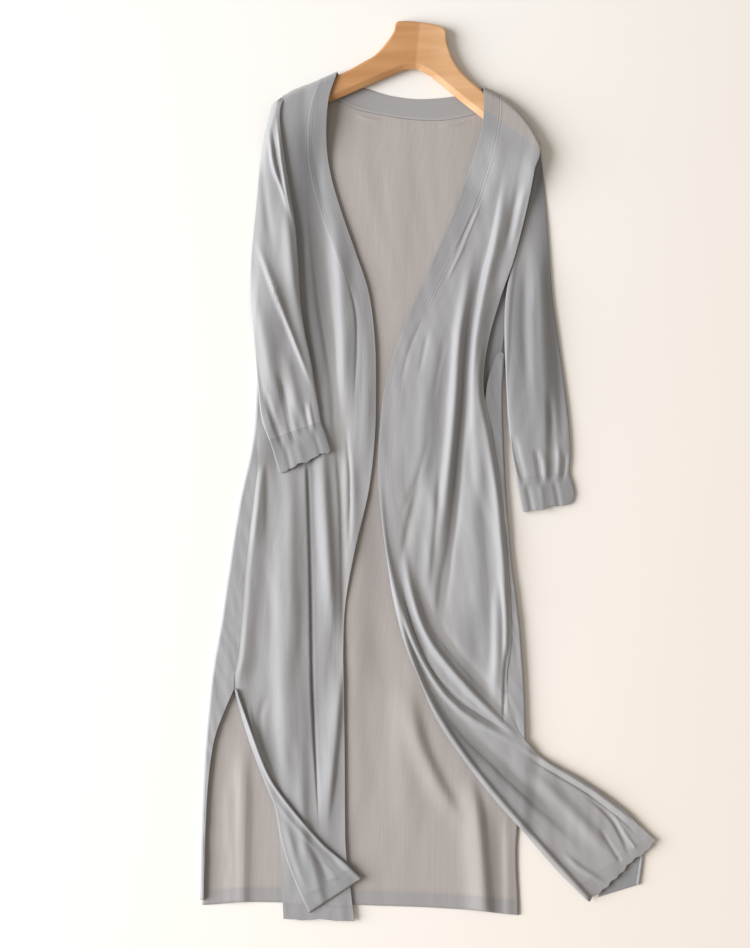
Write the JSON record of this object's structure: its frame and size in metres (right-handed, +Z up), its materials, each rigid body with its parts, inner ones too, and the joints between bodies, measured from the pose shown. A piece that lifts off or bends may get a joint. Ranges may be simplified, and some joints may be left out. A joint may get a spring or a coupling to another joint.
{
  "type": "long open-front cardigan laid flat on a wooden hanger",
  "caption": "Long thin-knit open-front cardigan with side slits, laid flat on its back with one front swept aside and a plain wooden hanger in its shoulders",
  "frame": {"origin": "the middle of the part's outline in plan, on the surface that it lies on", "axes": "+Z up from the surface, +Y towards the collar, +X to the viewer's right, which is the wearer's left"},
  "size_m": [0.6151, 1.2132, 0.0247],
  "materials": {
    "fine_knit": "thin, slightly see-through grey knit with a soft sheen",
    "double_knit": "the same grey knit, doubled",
    "beech": "clear satin lacquer on warm beech"
  },
  "bodies": {
    "root": {"back": "fine_knit", "front_right": "fine_knit", "front_left": "fine_knit", "sleeve_right": "fine_knit", "sleeve_left": "fine_knit", "cuff_right": "double_knit", "cuff_left": "double_knit", "band_right": "double_knit", "band_left": "double_knit", "band_neck": "double_knit", "hanger": "beech"}
  },
  "joints": []
}
